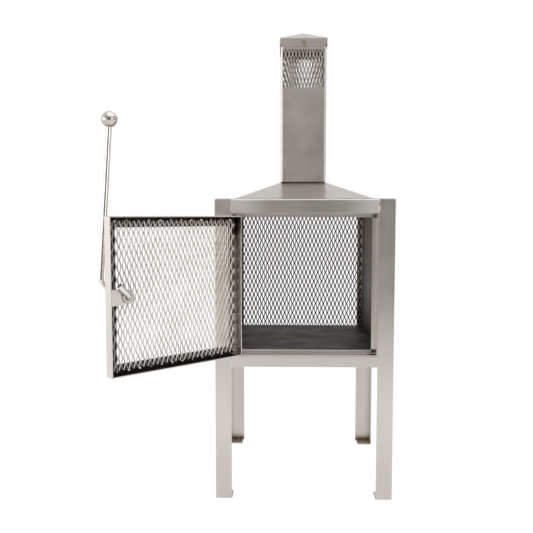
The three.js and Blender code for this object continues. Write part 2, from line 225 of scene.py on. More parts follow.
class Finish:  # a material under construction
    def __init__(self, name):
        self.material = bpy.data.materials.new(name)
        self.material.use_nodes = True
        self.tree = self.material.node_tree
        self.shader = self.tree.nodes["Principled BSDF"]
        self.place = self.node("ShaderNodeTexCoord", output="Object")

    def node(self, kind, settings=None, inputs=None, output=0):
        made = self.tree.nodes.new(kind)
        for key, value in (settings or {}).items():
            setattr(made, key, value)
        for key, value in (inputs or {}).items():
            self.feed(made.inputs[key], value)
        return Signal(self, made.outputs[output])

    def feed(self, socket, value):
        if isinstance(value, Signal):
            self.tree.links.new(value.socket, socket)
        else:
            socket.default_value = value

    def along(self, direction, start):  # how far a point lies from start in a direction
        dot = self.node(
            "ShaderNodeVectorMath", {"operation": "DOT_PRODUCT"}, {0: self.place, 1: tuple(direction)},
            output="Value",
        )
        return dot - start.dot(direction)

    def distance(self, spot):
        return self.node(
            "ShaderNodeVectorMath", {"operation": "DISTANCE"}, {0: self.place, 1: tuple(spot)},
            output="Value",
        )

    def axis(self, index, source=None):
        return self.node("ShaderNodeSeparateXYZ", {}, {0: source or self.place}, output=index)

    def facing(self, index):  # how far the surface faces along an axis
        return self.axis(index, self.node("ShaderNodeTexCoord", output="Normal"))

    def noise(self, scale, turn=(0, 0, 0), detail=3.0, rough=0.55):  # scale: one number or one per axis
        if not isinstance(scale, tuple):
            scale = (scale, scale, scale)
        vector = self.node("ShaderNodeMapping", {}, {"Vector": self.place, "Scale": scale, "Rotation": turn})
        return self.node(
            "ShaderNodeTexNoise", {}, {"Vector": vector, "Scale": 1.0, "Detail": detail, "Roughness": rough},
            output="Fac",
        )

    def blend(self, first, second, mask):  # first where mask is 0, second where it is 1
        colours = [value if isinstance(value, Signal) else (*value, 1) for value in (first, second)]
        return self.node(
            "ShaderNodeMix", {"data_type": "RGBA"}, {0: mask, 6: colours[0], 7: colours[1]}, output=2,
        )

    def bump(self, height, distance, strength=1.0):
        return self.node(
            "ShaderNodeBump", {}, {"Height": height, "Distance": distance, "Strength": strength},
        )

    def use(self, **values):
        names = {"colour": "Base Color", "roughness": "Roughness", "metallic": "Metallic",
                 "normal": "Normal", "emission": "Emission Color"}
        for key, value in values.items():
            if isinstance(value, tuple):
                value = (*value, 1)
            self.feed(self.shader.inputs[names[key]], value)
        return self.material


steel = {
    "clean": (0.70, 0.662, 0.625),
    "dull": (0.62, 0.58, 0.542),
    "bright": (0.78, 0.745, 0.715),
    "straw": (0.42, 0.31, 0.19),
    "brown": (0.13, 0.085, 0.06),
    "burnt": (0.028, 0.022, 0.02),
}
doorAlong = (doorTurn.to_3x3() @ Vector((1, 0, 0))).normalized()  # from the hinge edge to the free edge
doorInward = (doorTurn.to_3x3() @ Vector((0, 1, 0))).normalized()
heatTint = {"straw": (0.05, 0.35), "strawShare": 0.8, "brown": (0.3, 0.65), "burnt": (0.65, 1.0)}
grains = {  # how much finer the pattern is along each axis
    "x": (5, 300, 300), "y": (300, 5, 300), "z": (300, 300, 5),
}


def tinted(finish, colour, mask):  # straw at the edge of the heat, then brown, then burnt
    colour = finish.blend(colour, steel["straw"], mask.ramp(*heatTint["straw"]) * heatTint["strawShare"])
    colour = finish.blend(colour, steel["brown"], mask.ramp(*heatTint["brown"]))
    return finish.blend(colour, steel["burnt"], mask.ramp(*heatTint["burnt"]))


def torn(mask, pattern, amount):  # a mask with an uneven edge
    return (mask + (pattern - 0.5) * amount * mask).atMost(1.0).atLeast(0.0)


brushed = {  # the usual brushed steel; a finish may change the first three
    "roughness": 0.32, "relief": 0.22, "contrast": 1.0, "depth": 0.0002, "cloud": 6, "speck": 260,
    "coarser": 0.1, "colourSwing": 0.8, "roughSwing": 0.14, "discRough": 0.10, "burnRough": 0.15,
    # the colour used low on the legs is painted shade
    # the two soot colours below are soot and weld burn with painted shade, for the door frame's inner faces
    "lowShade": (0.52, 0.485, 0.45), "sootAndShadeEdge": (0.17, 0.135, 0.11), "soot": (0.026, 0.023, 0.022),
    "heatPatch": 70, "heatTear": 0.7, "sootPatch": 38, "sootTear": 0.9,
}


def brushedFinish(name, grain, turn=(0, 0, 0), heat=None, soot=None, lowShadeHeight=None, ends=None, **changes):
    make = dict(brushed, **changes)
    finish = Finish(name)
    fine = finish.noise(grains[grain], turn, detail=4.0)
    broad = finish.noise(tuple(value * make["coarser"] for value in grains[grain]), turn, detail=3.0)
    cloud = finish.noise(make["cloud"], detail=4.0)
    speck = finish.noise(make["speck"], detail=2.0)
    streak = fine * 0.55 + broad * 0.25 + speck * 0.2
    swing = (streak - 0.5) * make["colourSwing"] * make["contrast"]
    colour = finish.blend(steel["dull"], steel["clean"], (swing + cloud * 0.6 + 0.2).ramp(0.2, 0.8))
    roughSwing = make["roughSwing"]
    rough = make["roughness"] + (streak - 0.5) * roughSwing * make["contrast"]
    rough = rough + (cloud - 0.5) * roughSwing * make["contrast"]
    if ends:  # dressed back with a coarse disc beside the welds
        dressedEnd = finish.axis(0).size().ramp(*ends)
        colour = finish.blend(colour, steel["bright"], dressedEnd)
        rough = rough + dressedEnd * make["discRough"]
    if lowShadeHeight:  # painted shade: duller and mottled towards the floor, standing in for the darker floor reflection low on the legs
        paintedLowShade = (1 - finish.axis(2).ramp(0.0, lowShadeHeight)) * (0.5 + cloud * 0.5)
        colour = finish.blend(colour, make["lowShade"], paintedLowShade)
    if heat:
        ragged = torn(heat(finish), finish.noise(make["heatPatch"]), make["heatTear"])
        colour = tinted(finish, colour, ragged)
        rough = rough + ragged * make["burnRough"]
    # soot, weld burn and painted shade on the door frame's inner faces
    if soot:
        ragged = torn(soot(finish), finish.noise(make["sootPatch"], detail=4.0), make["sootTear"])
        colour = finish.blend(colour, make["sootAndShadeEdge"], ragged.ramp(0.02, 0.45))
        colour = finish.blend(colour, make["soot"], ragged.ramp(0.35, 0.8))
        rough = rough + ragged * make["burnRough"]
    relief = finish.bump(fine, make["depth"], make["relief"])
    return finish.use(colour=colour, roughness=rough, metallic=1.0, normal=relief)


mill = {
    "roughness": 0.36, "mottle": 150, "cloud": 9, "mottleRough": 0.12, "cloudRough": 0.2, "depth": 0.0002,
    "relief": 0.15, "weather": (0.43, 0.415, 0.385), "heatTear": 0.6,
}


def millFinish(name, heat=None, weathered=False):  # plain sheet with a fine even mottle
    finish = Finish(name)
    mottle = finish.noise(mill["mottle"], detail=3.0)
    cloud = finish.noise(mill["cloud"], detail=5.0)
    colour = finish.blend(steel["dull"], steel["clean"], (mottle * 0.5 + cloud * 0.7 - 0.1).ramp(0.25, 0.75))
    rough = mill["roughness"] + (mottle - 0.5) * mill["mottleRough"] + (cloud - 0.5) * mill["cloudRough"]
    if weathered:  # duller on top
        upward = finish.facing(2).ramp(0.2, 0.6)
        colour = finish.blend(colour, mill["weather"], upward * (0.6 + cloud * 0.4))
    if heat:
        colour = tinted(finish, colour, torn(heat(finish), mottle, mill["heatTear"]))
    relief = finish.bump(mottle, mill["depth"], mill["relief"])
    return finish.use(colour=colour, roughness=rough, metallic=1.0, normal=relief)


openingWeld = {"behind": 0.012, "near": 0.006, "far": 0.020, "skin": (0.0006, 0.0012)}
leftJamb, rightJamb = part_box("door_jamb_left"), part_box("door_jamb_right")
openingCorners = [  # where the jambs are welded to the sill and the header
    Vector((x, frontY + openingWeld["behind"], z))
    for x in (leftJamb[1].x, rightJamb[0].x) for z in (leftJamb[0].z, leftJamb[1].z)
]


def hottest(finish, spots, near, far):  # 1 at each spot, 0 away from all of them
    mask = finish.distance(spots[0]) * 0.0
    for spot in spots:
        mask = mask.atLeast(1 - finish.distance(spot).ramp(near, far))
    return mask


def cornerHeat(finish):  # on what faces into the opening, never on the front face
    mask = hottest(finish, openingCorners, openingWeld["near"], openingWeld["far"])
    return mask * finish.axis(1).ramp(*(frontY + skin for skin in openingWeld["skin"]))


footWeld = {"inner": (0.0029, 0.0024), "height": (0.006, 0.022), "strength": 0.55}


def uprightHeat(finish):  # and inside the legs, round the welded foot plates
    inner = 1 - finish.axis(0).size().ramp(*(rightX - depth for depth in footWeld["inner"]))
    inner = inner * (1 - finish.axis(1).size().ramp(*(backY - depth for depth in footWeld["inner"])))
    foot = (1 - finish.axis(2).ramp(*footWeld["height"])) * inner
    return cornerHeat(finish).atLeast(foot * footWeld["strength"])


doorFrameLow, doorFrameHigh = closedBox("door_stile_free")
hingeStileLow = closedBox("door_stile_hinge")[0]
doorCorner = doorTurn @ Vector((hingeStileLow.x, hingeStileLow.y, 0))  # outer face at the hinge edge
doorWidth = doorFrameHigh.x - hingeStileLow.x
doorSootAndShade = {
    "wall": 0.003, "skin": (-0.0007, -0.0002), "fade": (0.006, 0.018), "fadeBy": 0.35,
    "hingeSide": (0.013, 0.021), "hingeBy": 0.86, "topEnd": (0.085, 0.03), "lowEnd": (0.33, 0.40),
    "endsBy": 0.6,
}


def doorBurnAndShade(finish):  # soot, weld burn and painted shade on the inner faces of the door frame, worst beside the mesh; the hinge side is lighter except near its ends
    wall = doorSootAndShade["wall"]
    across = finish.along(doorAlong, doorCorner)
    inward = finish.along(doorInward, doorCorner)
    up = finish.axis(2)
    inside = (across - wall).atMost((doorWidth - wall) - across)
    inside = inside.atMost(up - (doorFrameLow.z + wall)).atMost((doorFrameHigh.z - wall) - up)
    inner = inside.ramp(*doorSootAndShade["skin"]) * inward.ramp(*(wall + skin for skin in doorSootAndShade["skin"]))
    deep = inward.ramp(*doorSootAndShade["fade"])
    hingeSide = 1 - across.ramp(*doorSootAndShade["hingeSide"])
    ends = up.ramp(*(doorFrameHigh.z - below for below in doorSootAndShade["topEnd"]))
    ends = ends.atLeast(1 - up.ramp(*doorSootAndShade["lowEnd"]))
    # lighter on the hinge side's inner face, with less soot and painted shade, except near its ends
    lighter = hingeSide * (doorSootAndShade["hingeBy"] - ends * doorSootAndShade["endsBy"])
    return inner * (1 - deep * doorSootAndShade["fadeBy"]) * (1 - lighter)


expanded = {
    "cloud": 45, "broad": 9, "roughness": 0.36, "cloudRough": 0.14, "burnRough": 0.15, "depth": 0.0002,
    "relief": 0.3,
}


def meshFinish(name, plain, dark, edge, under=0.0, outside=None, metallic=1.0):
    finish = Finish(name)
    cloud = finish.noise(expanded["cloud"], detail=3.0)
    broad = finish.noise(expanded["broad"], detail=2.0)
    shade = 1 - (cloud * 0.7 + broad * 0.6 - 0.15).ramp(0.3, 0.7)
    if under:  # painted shade: the strands' lower sides are darker
        shade = (shade * (1 - under) + (1 - finish.facing(2).ramp(-0.25, 0.1)) * under).atMost(1.0)
    colour = finish.blend(plain, dark, shade)
    if outside:  # the side away from the fire stays closer to bare metal
        colour = finish.blend(colour, outside, finish.facing(1).ramp(0.1, 0.6) * (0.5 + cloud * 0.5))
    ragged = (edge(finish) * (0.55 + cloud * 0.9)).atMost(1.0)
    colour = tinted(finish, colour, ragged)
    rough = expanded["roughness"] + cloud * expanded["cloudRough"] + ragged * expanded["burnRough"]
    relief = finish.bump(cloud, expanded["depth"], expanded["relief"])
    return finish.use(colour=colour, roughness=rough, metallic=metallic, normal=relief)


print("stage: materials")
finishes = {
    # the legs carry painted shade towards the floor
    "upright": brushedFinish("brushed upright", "z", heat=uprightHeat, lowShadeHeight=0.30),
    "across": brushedFinish("brushed across", "x", heat=cornerHeat),
    "topRail": brushedFinish("brushed top rail", "x", heat=cornerHeat, ends=(0.10, 0.21)),
    "deep": brushedFinish("brushed front to back", "y"),
    "hood": brushedFinish("brushed hood", "x", roughness=0.29, relief=0.0, contrast=0.25),
    # the door rails and stiles carry soot, weld burn and painted shade on their inner faces
    "doorAcross": brushedFinish("brushed door rail", "x", turn=(0, 0, openAngle), soot=doorBurnAndShade),
    "doorUpright": brushedFinish("brushed door stile", "z", soot=doorBurnAndShade),
    "plain": millFinish("mill sheet"),
}
capLow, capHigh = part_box("chimney_cap")
capTacks = {
    "front": ((0.0, 0.012), (0.002, 0.004)), "corner": 0.004, "near": 0.002, "far": 0.011, "strength": 0.32,
}


def capHeat(finish):  # a small brown mark over each tack, on the front and at the corners
    spots = [Vector((x, capLow.y, capLow.z + up)) for x, up in capTacks["front"]]
    for x in (capLow.x + capTacks["corner"], capHigh.x - capTacks["corner"]):
        spots.append(Vector((x, capLow.y, capLow.z)))
    return hottest(finish, spots, capTacks["near"], capTacks["far"]) * capTacks["strength"]


finishes["cap"] = millFinish("mill sheet cap", capHeat, weathered=True)

sooted = {
    "cloud": 5, "fine": 60, "colours": ((0.20, 0.17, 0.145), (0.30, 0.26, 0.23)),
    "lowColour": (0.036, 0.022, 0.013), "low": (0.42, 0.64), "outward": (0.02, 0.10),
    "roughness": 0.40, "cloudRough": 0.12, "lowRough": 0.2, "lowPaint": 0.8, "depth": 0.0002, "relief": 0.3,
}


def sootedFinish():  # the side panels: sooted inside, worst near the fire, and bare outside
    finish = Finish("sooted sheet")
    cloud = finish.noise(sooted["cloud"], detail=5.0)
    fine = finish.noise(sooted["fine"], detail=3.0)
    colour = finish.blend(*sooted["colours"], (cloud * 0.8 + fine * 0.3).ramp(0.35, 0.75))
    low = 1 - finish.axis(2).ramp(*sooted["low"])
    colour = finish.blend(colour, sooted["lowColour"], low * (0.8 + cloud * 0.2))
    bare = (finish.axis(0) * finish.facing(0)).ramp(*sooted["outward"])
    colour = finish.blend(colour, finish.blend(steel["dull"], steel["clean"], fine), bare)
    low = low * (1 - bare)
    rough = sooted["roughness"] + cloud * sooted["cloudRough"] + low * sooted["lowRough"]
    return finish.use(
        colour=colour, roughness=rough, metallic=1 - low * sooted["lowPaint"],
        normal=finish.bump(fine, sooted["depth"], sooted["relief"]),
    )


finishes["sooted"] = sootedFinish()

# painted shade: the recessed collar is coloured near-black for the shadow in the gap at the flue's base
collar = {"cloud": 60, "patch": (0.07, 0.055, 0.045), "roughness": 0.5, "cloudRough": 0.2}


def collarShadeFinish():
    finish = Finish("collar painted shade")
    cloud = finish.noise(collar["cloud"], detail=3.0)
    return finish.use(
        colour=finish.blend(steel["burnt"], collar["patch"], cloud.ramp(0.3, 0.7)),
        roughness=collar["roughness"] + cloud * collar["cloudRough"], metallic=1.0,
    )


finishes["burnt"] = collarShadeFinish()

hearth = {
    "cloud": 11, "fine": 90, "colours": ((0.05, 0.045, 0.04), (0.22, 0.20, 0.185)), "under": (-0.6, -0.2),
    "roughness": 0.45, "cloudRough": 0.2, "ashPaint": 0.6, "depth": 0.0004, "relief": 0.4,
}


def ashFinish():  # the hearth plate: dull grey sheet with ash and burnt patches, and no fire below it
    finish = Finish("ashy hearth")
    cloud = finish.noise(hearth["cloud"], detail=5.0)
    fine = finish.noise(hearth["fine"], detail=3.0)
    colour = finish.blend(*hearth["colours"], (cloud * 0.9 + fine * 0.25).ramp(0.38, 0.8))
    under = 1 - finish.facing(2).ramp(*hearth["under"])
    colour = finish.blend(colour, steel["dull"], under)
    return finish.use(
        colour=colour, roughness=hearth["roughness"] + cloud * hearth["cloudRough"],
        metallic=1 - cloud.ramp(0.45, 0.75) * hearth["ashPaint"] * (1 - under),
        normal=finish.bump(fine, hearth["depth"], hearth["relief"]),
    )


finishes["ash"] = ashFinish()

polished = {
    "cloud": 30, "fine": 200, "colours": ((0.70, 0.68, 0.655), (0.80, 0.78, 0.76)), "roughness": 0.09,
    "swing": 0.9, "weldHeat": 0.7,
}


def polishedFinish(name, weldAt=None, weldFade=None, **changes):
    make = dict(polished, **changes)
    finish = Finish(name)
    cloud = finish.noise(make["cloud"], detail=3.0)
    fine = finish.noise(make["fine"], detail=3.0)
    colour = finish.blend(*make["colours"], cloud.ramp(0.3, 0.7))
    if weldAt:  # tinted round the weld
        warmth = 1 - finish.distance(weldAt).ramp(*weldFade)
        colour = tinted(finish, colour, warmth * make["weldHeat"])
    rough = make["roughness"] + (cloud * 0.6 + fine * 0.4) * make["roughness"] * make["swing"]
    return finish.use(colour=colour, roughness=rough, metallic=1.0)


finishes["polished"] = polishedFinish("polished bar")

beadMetal = {"cloud": 170, "roughness": 0.28, "cloudRough": 0.18, "depth": 0.0004, "relief": 0.4}


def beadFinish(name, plain, tint):
    finish = Finish(name)
    cloud = finish.noise(beadMetal["cloud"], detail=3.0)
    return finish.use(
        colour=finish.blend(plain, tint, cloud.ramp(0.42, 0.66)), metallic=1.0,
        roughness=beadMetal["roughness"] + cloud * beadMetal["cloudRough"],
        normal=finish.bump(cloud, beadMetal["depth"], beadMetal["relief"]),
    )


bush = {
    "cloud": 80, "bore": (0.0085, 0.0105), "rim": (0.0155, 0.0175), "dark": (0.22, 0.18, 0.155),
    "colours": ((0.50, 0.47, 0.445), (0.62, 0.59, 0.565)), "shadeStrength": 0.8, "roughness": 0.2,
    "cloudRough": 0.14,
}


def bushFinish():  # turned face, with painted shade round the bore and at its rim
    finish = Finish("turned bush")
    cloud = finish.noise(bush["cloud"], detail=3.0)
    out = finish.distance(doorTurn @ Vector((pivot.x, closedBox("latch_bush")[1].y, pivot.z)))
    # painted shade in the gap round the rod and at the rim
    dark = (1 - out.ramp(*bush["bore"])).atLeast(out.ramp(*bush["rim"]))
    colour = finish.blend(*bush["colours"], cloud.ramp(0.3, 0.7))
    colour = finish.blend(colour, bush["dark"], dark * bush["shadeStrength"])
    return finish.use(colour=colour, roughness=bush["roughness"] + cloud * bush["cloudRough"], metallic=1.0)


finishes["bush"] = bushFinish()
finishes["bead"] = beadFinish("weld bead", plain=(0.80, 0.78, 0.75), tint=(0.36, 0.30, 0.24))
finishes["doorBead"] = beadFinish("door tack", plain=(0.62, 0.58, 0.54), tint=(0.05, 0.04, 0.034))
finishes["burntBead"] = beadFinish("burnt tack", plain=(0.42, 0.23, 0.11), tint=steel["burnt"])

rearLow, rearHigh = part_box("rear_mesh_panel")
rearEdge = {"near": 0.006, "far": 0.020}
doorEdge = {"near": 0.010, "far": 0.0155}


def rearEdgeHeat(finish):  # burnt along the welded sides
    return finish.axis(0).size().ramp(rearHigh.x - rearEdge["far"], rearHigh.x - rearEdge["near"])


def doorEdgeHeat(finish):  # and all round the door
    across = finish.along(doorAlong, doorCorner)
    up = finish.axis(2)
    inside = across.atMost(doorWidth - across).atMost(up - doorFrameLow.z).atMost(doorFrameHigh.z - up)
    return 1 - inside.ramp(doorEdge["near"], doorEdge["far"])


finishes["rearMesh"] = meshFinish(
    "expanded mesh back", plain=(0.250, 0.095, 0.036), dark=(0.085, 0.031, 0.012), edge=rearEdgeHeat,
    outside=(0.50, 0.46, 0.42), metallic=0.3,
)
# the door mesh's lower strand sides carry painted shade
finishes["doorMesh"] = meshFinish(
    "expanded mesh door", plain=(0.93, 0.90, 0.87), dark=(0.47, 0.385, 0.315), edge=doorEdgeHeat, under=0.6,
)

edges = {  # widths of the broken edges, radii of the folds
    "leg": 0.0006, "legFold": 0.0016, "rail": 0.0005, "railFold": 0.0032, "foot": 0.0005, "opening": 0.0004,
    "panel": 0.0004, "hood": 0.0007, "cap": 0.0012, "door": 0.0005, "latch": 0.0004, "bush": 0.0014,
    "hinge": 0.0004, "sleeve": 0.0003, "foldSegments": 5, "onLine": 0.0002,
}


def foldTest(y=None, z=None, x=None):  # edges that lie along a line given by two coordinates
    wanted = {0: x, 1: y, 2: z}

    def test(edge):
        ends = [vertex.co for vertex in edge.verts]
        return all(
            value is None or all(abs(end[i] - value) < edges["onLine"] for end in ends)
            for i, value in wanted.items()
        )

    return test


def fit(node, edge, finish, slot, body="frame", fold=None, radius=0.0):  # a CAD shape, dressed and placed
    piece = copyOf(node)
    if fold:
        edit(piece)
        pick(piece, "EDGE", foldTest(**fold))
        bpy.ops.mesh.bevel(offset=radius, segments=edges["foldSegments"], affect="EDGES")
        leaveEdit()
    softEdges(piece, edge, angle=40)
    return place(smooth(piece, 40), finishes[finish], body, slot, node)


print("stage: frame")
for corner in ("front_left", "front_right", "rear_left", "rear_right"):
    outer = {
        "x": leftX if "left" in corner else rightX,
        "y": frontY if "front" in corner else backY,
    }
    fit("leg_" + corner, edges["leg"], "upright", "brushed_steel", fold=outer, radius=edges["legFold"])
    fit("foot_plate_" + corner, edges["foot"], "deep", "brushed_steel")

for level in ("top", "bottom"):
    for side, grain in (("front", "across"), ("rear", "across"), ("left", "deep"), ("right", "deep")):
        node = f"{level}_rail_{side}"
        low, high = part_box(node)
        outerFaces = {
            "front": {"y": low.y}, "rear": {"y": high.y}, "left": {"x": low.x}, "right": {"x": high.x},
        }
        fold = {"z": high.z, **outerFaces[side]}
        finish = "topRail" if (level, side) == ("top", "front") else grain
        fit(node, edges["rail"], finish, "brushed_steel", fold=fold, radius=edges["railFold"])

for node in ("door_jamb_left", "door_jamb_right"):
    fit(node, edges["opening"], "upright", "brushed_steel")
for node in ("door_sill", "door_header"):
    fit(node, edges["opening"], "across", "brushed_steel")
for node in ("side_panel_left", "side_panel_right"):
    fit(node, edges["panel"], "sooted", "sooted_steel")
fit("hearth_plate", edges["panel"], "ash", "sooted_steel")
fit("hood", edges["hood"], "hood", "brushed_steel")
fit("chimney_cap", edges["cap"], "cap", "brushed_steel")
for node in ("door_rail_bottom", "door_rail_top"):
    fit(node, edges["door"], "doorAcross", "brushed_steel", "door")
for node in ("door_stile_hinge", "door_stile_free"):
    fit(node, edges["door"], "doorUpright", "brushed_steel", "door")

flue = {"corner": 0.008, "wall": 0.002, "segments": 10}


def squareSleeve(name, low, high, corner, cornersOnly=False):  # a square tube with rounded corners
    centre, size = (low + high) / 2, high - low
    bpy.ops.mesh.primitive_cube_add(size=1, location=centre)
    sleeve = named(name)
    sleeve.scale = size
    settle(sleeve)
    edit(sleeve)
    pick(sleeve, "EDGE", lambda edge: abs(edge.verts[0].co.z - edge.verts[1].co.z) > size.z / 2)
    bpy.ops.mesh.bevel(offset=corner, segments=flue["segments"], affect="EDGES")
    pick(sleeve, "FACE", lambda face: abs(face.normal.z) > 0.9)
    bpy.ops.mesh.delete(type="FACE")
    if cornersOnly:  # takes the flat walls away
        pick(sleeve, "FACE", lambda face: max(abs(face.normal.x), abs(face.normal.y)) > 0.9999)
        bpy.ops.mesh.delete(type="FACE")
    leaveEdit()
    modify(sleeve, "SOLIDIFY", thickness=flue["wall"], offset=-1)
    softEdges(sleeve, edges["sleeve"], angle=50)
    return smooth(sleeve, 30)


print("stage: flue")
for node, corner in (("flue_tube", flue["corner"]), ("flue_collar", flue["corner"] - flue["wall"])):
    sleeve = squareSleeve(node + "_finished", *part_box(node), corner)
    # the collar takes the near-black painted shade
    finish = "burnt" if node == "flue_collar" else "plain"
    place(sleeve, finishes[finish], "frame", "brushed_steel", node)

rearPanelMesh = {  # one opening is a pitch wide and a length high
    "pitch": 0.015, "length": 0.035, "width": 0.0041, "thick": 0.0018, "tilt": 36, "bond": 0.003,
    "chamfer": 0.0004, "overlap": 0.48, "merge": 0.00005,
}
doorPanelMesh = dict(rearPanelMesh, width=0.0034, tilt=-38, trim=0.006)
arrestorMesh = {
    "length": 0.0366, "width": 0.0034, "thick": 0.0012, "tilt": 14, "bond": 0.004, "chamfer": 0.0004,
    "overlap": 0.48, "merge": 0.00005, "columns": 50,
}


def zigzag(name, make, rows):  # one upright strand, bonded to its neighbours on the straight parts
    tilt = math.radians(make["tilt"])
    lean = Vector((math.cos(tilt), math.sin(tilt), 0)) * make["width"] * make["overlap"]
    reach = Vector((make["pitch"] / 2, 0, 0)) - lean * 2
    rise = make["length"] / 2 - make["bond"]
    bpy.ops.mesh.primitive_plane_add(size=1, location=lean, rotation=(0, 0, tilt))
    strand = named(name)
    strand.scale = (make["width"], make["thick"], 1)
    settle(strand)
    edit(strand)
    bpy.ops.mesh.select_all(action="SELECT")
    bpy.ops.mesh.bevel(offset=make["chamfer"], segments=1, affect="VERTICES")
    half, whole = Vector((0, 0, make["bond"] / 2)), Vector((0, 0, make["bond"]))
    up = Vector((0, 0, rise))
    for step in (half, reach + up, whole, up - reach, half):
        bpy.ops.mesh.extrude_region_move(TRANSFORM_OT_translate={"value": step})
    pick(strand, "FACE", lambda face: len(face.verts) > 4)
    bpy.ops.mesh.delete(type="FACE")
    leaveEdit()
    modify(
        strand, "ARRAY", count=rows, use_relative_offset=False, use_constant_offset=True,
        constant_offset_displace=(0, 0, make["length"]), use_merge_vertices=True,
        merge_threshold=make["merge"],
    )
    return strand


def expandedSheet(name, make, width, height):  # a flat sheet in X and Z, centred on the origin
    rows = math.ceil(height / make["length"]) + 2
    columns = math.ceil(width / make["pitch"]) + 2
    strand = zigzag(name, make, rows)
    other = strand.copy()
    other.data = strand.data.copy()
    bpy.context.scene.collection.objects.link(other)
    other.location = (make["pitch"] / 2, 0, make["length"] / 2)
    settle(other)
    sheet = joined(name, [strand, other])
    modify(
        sheet, "ARRAY", count=columns, use_relative_offset=False, use_constant_offset=True,
        constant_offset_displace=(make["pitch"], 0, 0),
    )
    sheet.location = (-columns * make["pitch"] / 2, 0, -(rows + 0.5) * make["length"] / 2)
    settle(sheet)
    edit(sheet)
    for side in (Vector((1, 0, 0)), Vector((-1, 0, 0)), Vector((0, 0, 1)), Vector((0, 0, -1))):
        edge = side * (width if side.x else height) / 2
        bpy.ops.mesh.select_all(action="SELECT")
        bpy.ops.mesh.bisect(plane_co=edge, plane_no=side, use_fill=True, clear_outer=True)
    bpy.ops.mesh.select_all(action="SELECT")
    bpy.ops.mesh.normals_make_consistent(inside=False)
    leaveEdit()
    return sheet


print("stage: expanded mesh")
rearSize = rearHigh - rearLow
rearMesh = expandedSheet("rear_mesh_expanded", rearPanelMesh, rearSize.x, rearSize.z)
rearMesh.location = (rearLow + rearHigh) / 2
settle(rearMesh)
place(rearMesh, finishes["rearMesh"], "frame", "mesh_steel", "rear_mesh_panel")

doorLow, doorHigh = closedBox("door_mesh_panel")
doorTrim = Vector((doorPanelMesh["trim"], 0, doorPanelMesh["trim"]))  # the sheet ends short of the frame
doorLow, doorHigh = doorLow + doorTrim, doorHigh - doorTrim
doorSize = doorHigh - doorLow
doorMesh = expandedSheet("door_mesh_expanded", doorPanelMesh, doorSize.x, doorSize.z)
doorMesh.location = (doorLow + doorHigh) / 2
settle(doorMesh, doorTurn)
place(doorMesh, finishes["doorMesh"], "door", "mesh_steel", "door_mesh_panel")

handle = {
    "radius": 0.0075, "finger": 0.046, "arm": 0.0486, "slope": 45, "bend": 0.014, "steps": 10,
    "endEdge": 0.0012, "ballRoughness": 0.03, "ballWeld": (0.006, 0.022),
    "ballColours": ((0.50, 0.475, 0.44), (0.60, 0.57, 0.535)),
}


def roundedRoute(corners, bend, steps):  # the corners of a route, each swapped for an arc
    route = [corners[0]]
    for before, corner, after in zip(corners, corners[1:], corners[2:]):
        inward, outward = (before - corner).normalized(), (after - corner).normalized()
        half = inward.angle(outward) / 2
        radius = bend * math.tan(half)
        centre = corner + (inward + outward).normalized() * (bend / math.cos(half))
        start, finish = corner + inward * bend - centre, corner + outward * bend - centre
        sweep = start.angle(finish)
        axis = start.cross(finish).normalized()
        for i in range(steps + 1):
            route.append(centre + Matrix.Rotation(sweep * i / steps, 3, axis) @ start)
    return route + [corners[-1]]


def roundBar(name, route, radius):  # a round bar along a route
    curve = bpy.data.curves.new(name, "CURVE")
    curve.dimensions = "3D"
    line = curve.splines.new("POLY")
    line.points.add(len(route) - 1)
    for point, spot in zip(line.points, route):
        point.co = (*spot, 1)
    curve.bevel_depth = radius
    curve.bevel_resolution = 6
    curve.use_fill_caps = True
    bar = bpy.data.objects.new(name, curve)
    bpy.context.scene.collection.objects.link(bar)
    activate(bar)
    bpy.ops.object.convert(target="MESH")
    bar = named(name)
    edit(bar)
    bpy.ops.mesh.select_all(action="SELECT")
    bpy.ops.mesh.remove_doubles(threshold=merging["near"])
    bpy.ops.mesh.normals_make_consistent(inside=False)
    leaveEdit()
    return bar


print("stage: handle")
ballLow, ballHigh = closedBox("handle_ball")
barLow, barHigh = closedBox("handle_bar")
ballCentre = (ballLow + ballHigh) / 2
ballRadius = (ballHigh.z - ballLow.z) / 2
slope = math.radians(handle["slope"])
rise = Vector((math.cos(slope), 0, math.sin(slope)))
fingerAxis = Vector((pivot.x, barHigh.y - handle["radius"], pivot.z))
leverAxis = Vector((pivot.x, barLow.y + handle["radius"], pivot.z))
elbow = leverAxis + rise * handle["arm"]
corners = [fingerAxis + rise * handle["finger"], fingerAxis, leverAxis, elbow, ballCentre]
bar = roundBar("handle_bar_bent", roundedRoute(corners, handle["bend"], handle["steps"]), handle["radius"])
softEdges(bar, handle["endEdge"], segments=3, angle=60)
settle(smooth(bar, 40), doorTurn)
place(bar, finishes["polished"], "handle", "polished_steel", "handle_bar")

bpy.ops.mesh.primitive_uv_sphere_add(segments=64, ring_count=32, radius=ballRadius, location=ballCentre)
ball = named("handle_ball_knob")
settle(smooth(ball, 60), doorTurn)
ballFoot = doorTurn @ (ballCentre - Vector((0, 0, ballRadius)))
ballFinish = polishedFinish(
    "polished ball", weldAt=ballFoot, weldFade=handle["ballWeld"], colours=handle["ballColours"],
    roughness=handle["ballRoughness"],
)
place(ball, ballFinish, "handle", "polished_steel", "handle_ball")

fit("latch_plate", edges["latch"], "plain", "brushed_steel", "door")
fit("latch_bush", edges["bush"], "bush", "polished_steel", "door")
for node in ("lower_hinge_barrel", "upper_hinge_barrel"):
    fit(node, edges["hinge"], "plain", "brushed_steel", "door")
for node in ("lower_hinge_socket", "upper_hinge_socket"):
    fit(node, edges["hinge"], "doorUpright", "brushed_steel")
for node in ("lower_hinge_pin", "upper_hinge_pin"):
    fit(node, edges["hinge"], "doorUpright", "polished_steel")

